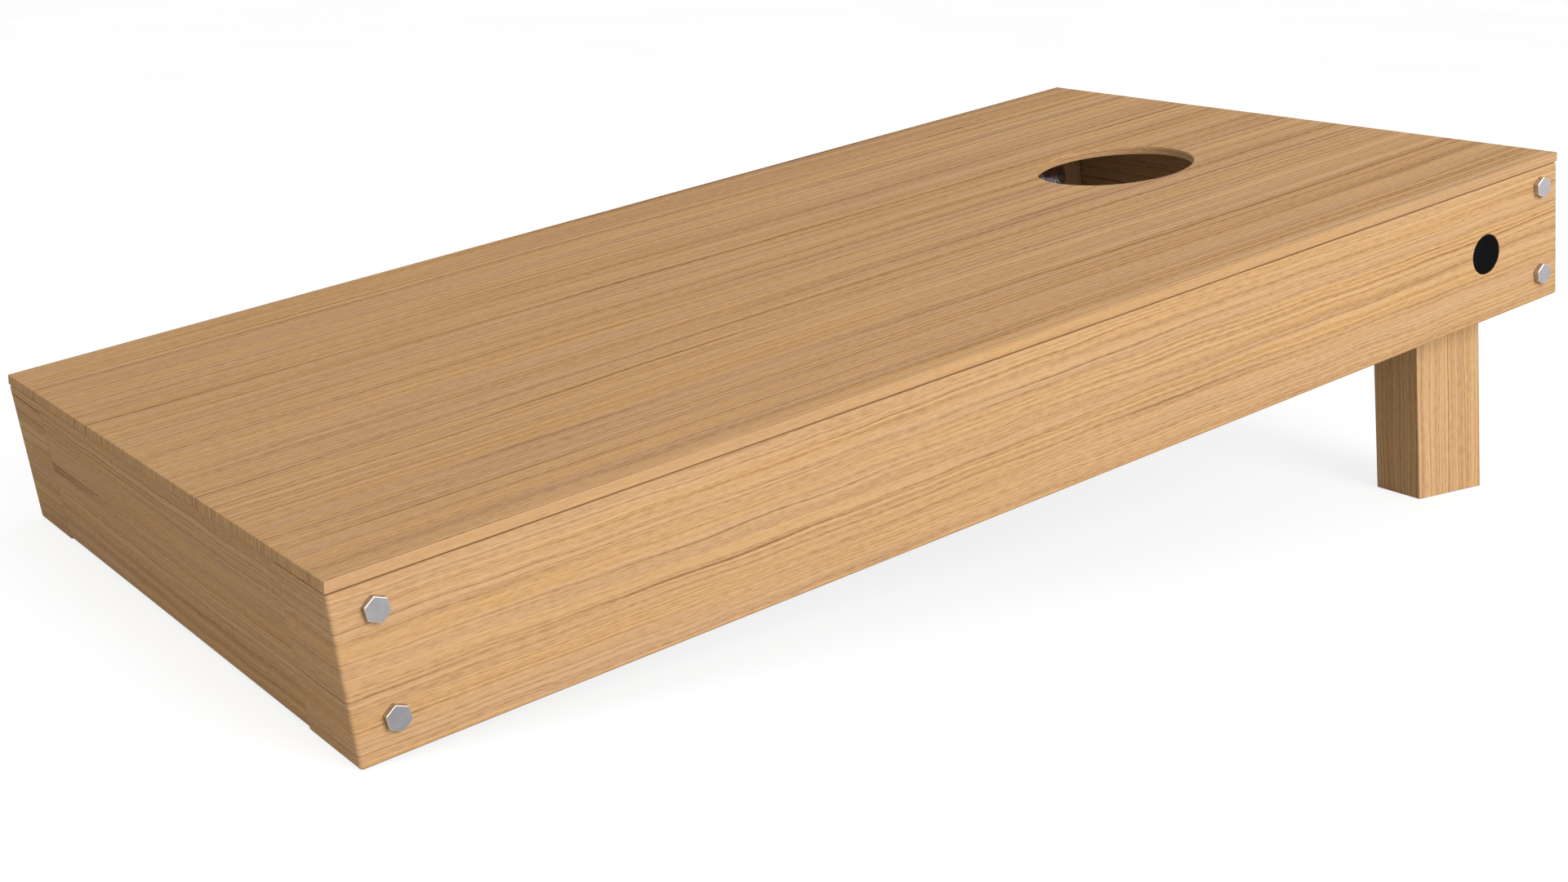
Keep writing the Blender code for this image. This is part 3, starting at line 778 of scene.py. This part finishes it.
def lock_nut(name, across, height, collar_r, collar_height, bore_r, steps=48):
    """From x = 0 to x = -(height + collar); chamfered corners, domed collar, a seat for the nylon ring."""
    nut = prism(name, hexagon(across, math.radians(12)), -height, 0.0)
    corner = across / 2 / math.cos(math.pi / 6)
    c = corner - across / 2
    limit = turned(name + "_limit", [(0.0, 0.0), (0.0, across / 2 - 0.1 * MM), (-0.58 * c - 0.1 * MM, corner + 0.1 * MM),
                                     (-height + 0.58 * c, corner + 0.1 * MM), (-height, across / 2 - 0.1 * MM),
                                     (-height, 0.0)], 96)
    combine(nut, [limit], "INTERSECT")
    end = -height - collar_height
    collar = turned(name + "_collar", [(-height * 0.5, 0.0), (-height * 0.5, collar_r), (-height, collar_r),
                                       (end + 1.2 * MM, collar_r)]
                    + [(end + 1.2 * MM * (1 - math.sin(a)), collar_r - 1.2 * MM * (1 - math.cos(a)))
                       for a in [math.radians(k * 18) for k in range(1, 6)]] + [(end, 0.0)], steps)
    combine(nut, [collar], "UNION")
    bore = turned(name + "_bore", [(0.01, 0.0), (0.01, bore_r + 0.5 * MM), (0.0, bore_r + 0.5 * MM), (-0.5 * MM, bore_r),
                                   (end + 2.4 * MM, bore_r), (end + 2.4 * MM, bore_r + 0.9 * MM),
                                   (end - 0.01, bore_r + 0.9 * MM), (end - 0.01, 0.0)], steps)
    combine(nut, [bore])
    return nut


def nylon_ring(name, end, bore_r, steps=48):
    return turned(name, [(end + 0.35 * MM, bore_r + 0.02 * MM), (end + 0.25 * MM, bore_r + 0.3 * MM),
                         (end + 0.25 * MM, bore_r + 0.85 * MM), (end + 2.3 * MM, bore_r + 0.85 * MM),
                         (end + 2.3 * MM, bore_r + 0.02 * MM)], steps, True)


def washer(name, x0, x1, inner, outer, ease, steps=96):
    """A stamped washer, its outer rims rounded, its bore's rims just broken."""
    e, b = ease, ease * 0.5
    return turned(name, [(x0, inner + b), (x0, outer - e)] + [
        (x0 + e * (1 - math.cos(a)), outer - e * (1 - math.sin(a))) for a in [math.radians(k * 22.5) for k in range(1, 5)]] + [
        (x1 - e * (1 - math.cos(a)), outer - e * (1 - math.sin(a))) for a in [math.radians(k * 22.5) for k in range(4, 0, -1)]] + [
        (x1, outer - e), (x1, inner + b), (x1 - b, inner), (x0 + b, inner)], steps, True)


def turned_cap(name):
    """Push-in cap: shallow dished face, rounded rim, skirt with three grip ribs."""
    R, SK = 17.9 * MM, 16.1 * MM
    face = -0.2 * MM
    dish = [(face - 0.55 * MM, 0.0), (face - 0.53 * MM, 4.0 * MM), (face - 0.47 * MM, 8.0 * MM),
            (face - 0.36 * MM, 11.8 * MM), (face - 0.18 * MM, 14.6 * MM), (face - 0.05 * MM, 15.9 * MM)]
    rim = [(face - 0.9 * MM * (1 - math.cos(a)), R - 0.9 * MM * (1 - math.sin(a)))
           for a in [math.radians(k * 15) for k in range(0, 7)]]
    ribs = []
    for x in (-3.6, -5.2, -6.8):
        ribs += [(x * MM + 0.5 * MM, R - 0.35 * MM), (x * MM, R), (x * MM - 0.5 * MM, R - 0.35 * MM)]
    body = [(-2.0 * MM, R), (-2.2 * MM, R - 0.35 * MM)] + ribs + [
        (-8.5 * MM, R - 0.35 * MM), (-9.0 * MM, R - 0.9 * MM), (-9.0 * MM, SK + 0.2 * MM), (-8.8 * MM, SK),
        (-3.1 * MM, SK), (-2.6 * MM, SK - 0.5 * MM), (-2.6 * MM, 0.0)]
    return turned(name, dish + rim + body, 96)


def barrel_nut(name):
    """A cross dowel along y, threaded along x through the middle, a driver slot in its +y end."""
    L, R, C = 22.0 * MM, 7.0 * MM, 0.7 * MM
    barrel = turned(name, [(-L / 2, 0.0), (-L / 2, R - C), (-L / 2 + C * 0.3, R - C * 0.3), (-L / 2 + C, R),
                           (L / 2 - C, R), (L / 2 - C * 0.3, R - C * 0.3), (L / 2, R - C), (L / 2, 0.0)], 64)
    moved(barrel, Matrix.Rotation(math.pi / 2, 4, "Z"))
    r = 5.1 * MM
    hole = turned(name + "_hole", [(-0.02, 0.0), (-0.02, r), (0.02, r), (0.02, 0.0)], 48)
    slot = box(name + "_slot", (-0.01, L / 2 - 1.8 * MM, -0.8 * MM), (0.01, L, 0.8 * MM))
    return combine(barrel, [hole, slot])


def fitted(template, name, node, body, materials, at, flip=False):
    """A copy of template laid at a point of the board's frame; flip turns it about z."""
    obj = link(name, template.data.copy())
    moved(obj, Matrix.Translation(at) @ (Matrix.Rotation(math.pi, 4, "Z") if flip else Matrix.Identity(4)))
    return install(obj, node, body, materials)


bolt = hex_bolt("tmpl_corner_bolt", 5.0 * MM, 120.0 * MM, 17.0 * MM, HEAD_HEIGHT, math.radians(36.0), 1.5 * MM,
                32.0 * MM, 0.55 * MM)
nut = barrel_nut("tmpl_barrel_nut")
for which, level, y, z, head_x, tip_x, nut_x, nut_y in rows:
    for side, s in SIDES:
        tag = f"{which}_{level}_{side}"
        fitted(bolt, f"corner_bolt_{tag}_fine", f"corner_bolt_{tag}", "frame", [zinc],
               (s * (head_x - HEAD_HEIGHT), y, z), s < 0)
        fitted(nut, f"barrel_nut_{tag}_fine", f"barrel_nut_{tag}", "frame", [dark_zinc],
               (s * nut_x, y, z), which == "back")
drop(bolt, nut)

pivot = hex_bolt("tmpl_pivot_bolt", 6.0 * MM, 100.0 * MM, 19.0 * MM, 7.5 * MM, math.radians(15.0), 1.75 * MM,
                 34.0 * MM, 0.5 * MM)
cap = turned_cap("tmpl_cap")
head_ring = washer("tmpl_head_washer", 0.0, 2.5 * MM, 6.5 * MM, 12.0 * MM, 0.4 * MM)
spacer = washer("tmpl_spacer", 0.0, 2.0 * MM, 6.4 * MM, 20.0 * MM, 0.5 * MM)
nut_ring = washer("tmpl_nut_washer", 0.0, 2.5 * MM, 6.5 * MM, 18.0 * MM, 0.4 * MM)
locking = lock_nut("tmpl_lock_nut", 19.0 * MM, 9.0 * MM, 8.4 * MM, 3.0 * MM, 6.1 * MM)
insert = nylon_ring("tmpl_insert", -12.0 * MM, 6.1 * MM)
for side, s in SIDES:
    back_to_front = s < 0
    low, high = board_box(f"pivot_bolt_{side}")
    head_x = (high.x if s > 0 else -low.x) - 7.5 * MM
    fitted(pivot, f"pivot_bolt_{side}_fine", f"pivot_bolt_{side}", "frame", [zinc],
           (s * head_x, PIVOT_Y, PIVOT_Z), back_to_front)
    fitted(cap, f"pivot_cap_{side}_fine", f"pivot_cap_{side}", "frame", [black_plastic],
           (s * HALF, PIVOT_Y, PIVOT_Z), back_to_front)
    for template, node, slot, mats in ((head_ring, "pivot_head_washer", "zinc_steel", [zinc]),
                                       (spacer, "pivot_spacer_washer", "nylon", [nylon]),
                                       (nut_ring, "pivot_nut_washer", "zinc_steel", [zinc])):
        low, high = board_box(f"{node}_{side}")
        fitted(template, f"{node}_{side}_fine", f"{node}_{side}", "frame", mats,
               (low.x if s > 0 else high.x, PIVOT_Y, PIVOT_Z), back_to_front)
    low, high = board_box(f"pivot_lock_nut_{side}")
    seat = (high.x if s > 0 else low.x, PIVOT_Y, PIVOT_Z)
    fitted(locking, f"pivot_lock_nut_{side}_fine", f"pivot_lock_nut_{side}", "frame", [zinc],
           seat, back_to_front)
    ring = fitted(insert, f"lock_nut_insert_{side}", f"pivot_lock_nut_{side}", "frame", [nylon_blue],
                  seat, back_to_front)
drop(pivot, cap, head_ring, spacer, nut_ring, locking, insert)


# ---------------------------------------------------------------------------
# floor, light, camera
# ---------------------------------------------------------------------------
def floor_material():
    t = Tree("floor")
    at = t.node("ShaderNodeTexCoord").outputs["Object"]
    cloud = t.noise(at, scale=1.3, detail=3.0)
    light_path = t.node("ShaderNodeLightPath")
    path, gloss = light_path.outputs["Is Camera Ray"], light_path.outputs["Is Glossy Ray"]
    pale = t.mix(path, (0.52, 0.52, 0.52), (0.96, 0.96, 0.96))
    bsdf = t.node("ShaderNodeBsdfDiffuse", {"Color": pale})
    # painted reflection: for glossy rays only the floor glows, darker close to the board, brighter further out, and
    # shiny metal mirrors that
    away = t.math("ABSOLUTE", t.node("ShaderNodeSeparateXYZ", {0: at}).outputs[0])
    reflection_glow = t.math("MULTIPLY", gloss, t.remap(away, 0.3, 1.8, 0.53, 1.28, smooth=False))
    strength = t.math("MULTIPLY_ADD", t.math("SUBTRACT", 1.0, gloss), t.remap(cloud, 0.2, 0.8, 1.0, 1.03), reflection_glow)
    glow = t.node("ShaderNodeEmission", {"Color": (1, 1, 1, 1), "Strength": strength})
    lift = t.math("MULTIPLY_ADD", path, 0.80, gloss)
    mixed = t.node("ShaderNodeMixShader", {0: lift, 1: bsdf.outputs[0], 2: glow.outputs[0]})
    out = t.node("ShaderNodeOutputMaterial")
    t.tree.links.new(mixed.outputs[0], out.inputs[0])
    return t.mat


bm = bmesh.new()
bmesh.ops.create_grid(bm, x_segments=8, y_segments=8, size=40.0)
floor = link("floor", mesh_of("floor", bm))
floor.location.z = -0.3 * MM
floor.data.materials.append(floor_material())
floor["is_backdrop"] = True

world = bpy.data.worlds.new("studio")
scene.world = world
world.use_nodes = True
wt = world.node_tree
wt.nodes.clear()


def wnode(kind, **props):
    n = wt.nodes.new(kind)
    for key, value in props.items():
        setattr(n, key, value)
    return n


SKY_LOW, SKY_HIGH = 0.70, 1.00
coord = wnode("ShaderNodeTexCoord")
up = wnode("ShaderNodeSeparateXYZ")
wt.links.new(coord.outputs["Generated"], up.inputs[0])
fade = wnode("ShaderNodeMapRange", clamp=True)
wt.links.new(up.outputs[2], fade.inputs["Value"])
for key, number in (("From Min", 0.0), ("From Max", 1.0), ("To Min", SKY_LOW), ("To Max", SKY_HIGH)):
    fade.inputs[key].default_value = number
# shiny metal sees an overhead panel brighter than the walls
panel = wnode("ShaderNodeMapRange", clamp=True, interpolation_type="SMOOTHSTEP")
wt.links.new(up.outputs[2], panel.inputs["Value"])
for key, number in (("From Min", 0.25), ("From Max", 0.75), ("To Min", 0.62), ("To Max", 2.4)):
    panel.inputs[key].default_value = number
seen = wnode("ShaderNodeLightPath")
shiny = wnode("ShaderNodeMix", data_type="FLOAT")
wt.links.new(seen.outputs["Is Glossy Ray"], shiny.inputs[0])
wt.links.new(fade.outputs["Result"], shiny.inputs[2])
wt.links.new(panel.outputs["Result"], shiny.inputs[3])
pick = wnode("ShaderNodeMix", data_type="FLOAT")
wt.links.new(seen.outputs["Is Camera Ray"], pick.inputs[0])
wt.links.new(shiny.outputs[0], pick.inputs[2])
pick.inputs[3].default_value = 1.05
backdrop = wnode("ShaderNodeBackground")
backdrop.inputs["Color"].default_value = (1, 1, 1, 1)
wt.links.new(pick.outputs[0], backdrop.inputs["Strength"])
wout = wnode("ShaderNodeOutputWorld")
wt.links.new(backdrop.outputs[0], wout.inputs[0])


def area_light(name, toward, distance, size, level, target=Vector((0, 0, 0.15))):
    """level is the light a surface facing it would get, as a share of full white."""
    light = bpy.data.lights.new(name, "AREA")
    light.shape = "SQUARE"
    light.size = size
    light.energy = level * math.pi ** 2 * distance ** 2
    obj = bpy.data.objects.new(name, light)
    scene.collection.objects.link(obj)
    d = Vector(toward).normalized()
    obj.location = target + d * distance
    obj.rotation_mode = "QUATERNION"
    obj.rotation_quaternion = d.to_track_quat("Z", "Y")
    return obj


KEY_ELEVATION = math.radians(24.0)
area_light("key_softbox", (math.cos(KEY_ELEVATION), 0.02, math.sin(KEY_ELEVATION)), 5.0, 2.6, 0.96)

camera = bpy.data.cameras.new("camera")
camera.lens = 50.0
camera.sensor_width = 36.0
camera.clip_start = 0.01
camera.clip_end = 200.0
view = bpy.data.objects.new("camera", camera)
scene.collection.objects.link(view)
view.location = BOARD @ Vector((1.55589, -0.432773, 0.508953))
view.rotation_euler = (1.31321606, -0.01219866, 0.96076395)
scene.camera = view

scene.view_settings.view_transform = "Standard"
scene.view_settings.look = "None"
scene.view_settings.exposure = 0.0
scene.view_settings.gamma = 1.0

bpy.context.view_layer.update()
low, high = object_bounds()
